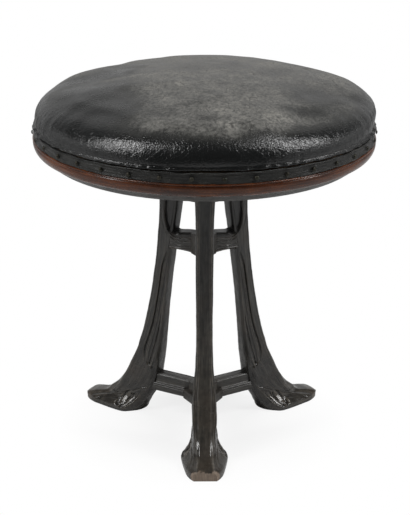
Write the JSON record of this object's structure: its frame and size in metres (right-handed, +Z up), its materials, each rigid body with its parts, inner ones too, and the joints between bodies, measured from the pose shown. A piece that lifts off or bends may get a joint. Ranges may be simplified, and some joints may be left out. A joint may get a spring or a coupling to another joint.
{
  "type": "revolving piano stool",
  "caption": "Piano stool: a round leather-covered seat turns on an iron screw and rises above splayed carved legs tied by two stretchers.",
  "frame": {"origin": "on the floor, under the axis of the screw", "axes": "+Z up along the screw; the front leg points to -Y; +X to the right of a viewer who faces the front leg"},
  "size_m": [0.423, 0.423, 0.4718],
  "materials": {
    "ebonised_wood": "ebonised and waxed, worn brown along the edges",
    "ebonised_board": "blackened turned wood",
    "polished_rail": "polished red-brown hardwood, darkened with age",
    "beech": "bare planed beech",
    "cover_leather": "black pebbled leather, dusty and rubbed on top",
    "band_leather": "black smooth leather strip, creased and rubbed",
    "washer_leather": "oiled sole leather",
    "hair_stuffing": "curled hair under a calico skin",
    "nail_bronze": "domed heads, tarnished dark bronze",
    "dark_iron": "blackened iron",
    "screw_steel": "oiled steel, dark in the threads"
  },
  "bodies": {
    "base": {"front_leg": "ebonised_wood", "left_leg": "ebonised_wood", "right_leg": "ebonised_wood", "upper_arm_front": "ebonised_wood", "upper_arm_left": "ebonised_wood", "upper_arm_right": "ebonised_wood", "upper_hub": "ebonised_wood", "lower_arm_front": "ebonised_wood", "lower_arm_left": "ebonised_wood", "lower_arm_right": "ebonised_wood", "lower_hub": "ebonised_wood", "top_block": "ebonised_wood", "leg_dowels": "beech", "screw_nut": "dark_iron", "nut_screws": "screw_steel"},
    "buffer": {"buffer_washer": "washer_leather"},
    "seat": {"seat_screw": "screw_steel", "seat_plate": "dark_iron", "plate_screws": "screw_steel", "bottom_board": "ebonised_board", "board_screws": "screw_steel", "seat_board": "beech", "seat_rail": "polished_rail", "stuffing_pad": "hair_stuffing", "leather_cover": "cover_leather", "leather_band": "band_leather", "band_nails": "nail_bronze"}
  },
  "joints": [
    {"name": "seat_turn", "type": "hinge", "parent": "base", "child": "buffer", "pos_m": [0, 0, 0.361], "axis": [0, 0, 1], "range_deg": [0, 5490]},
    {"name": "seat_rise", "type": "slide", "parent": "buffer", "child": "seat", "axis": [0, 0, 1], "range_m": [0, 0.0915]}
  ],
  "couplings": [
    {"joint": "seat_rise", "follows": "seat_turn", "m_per_rad": 0.00095493}
  ]
}
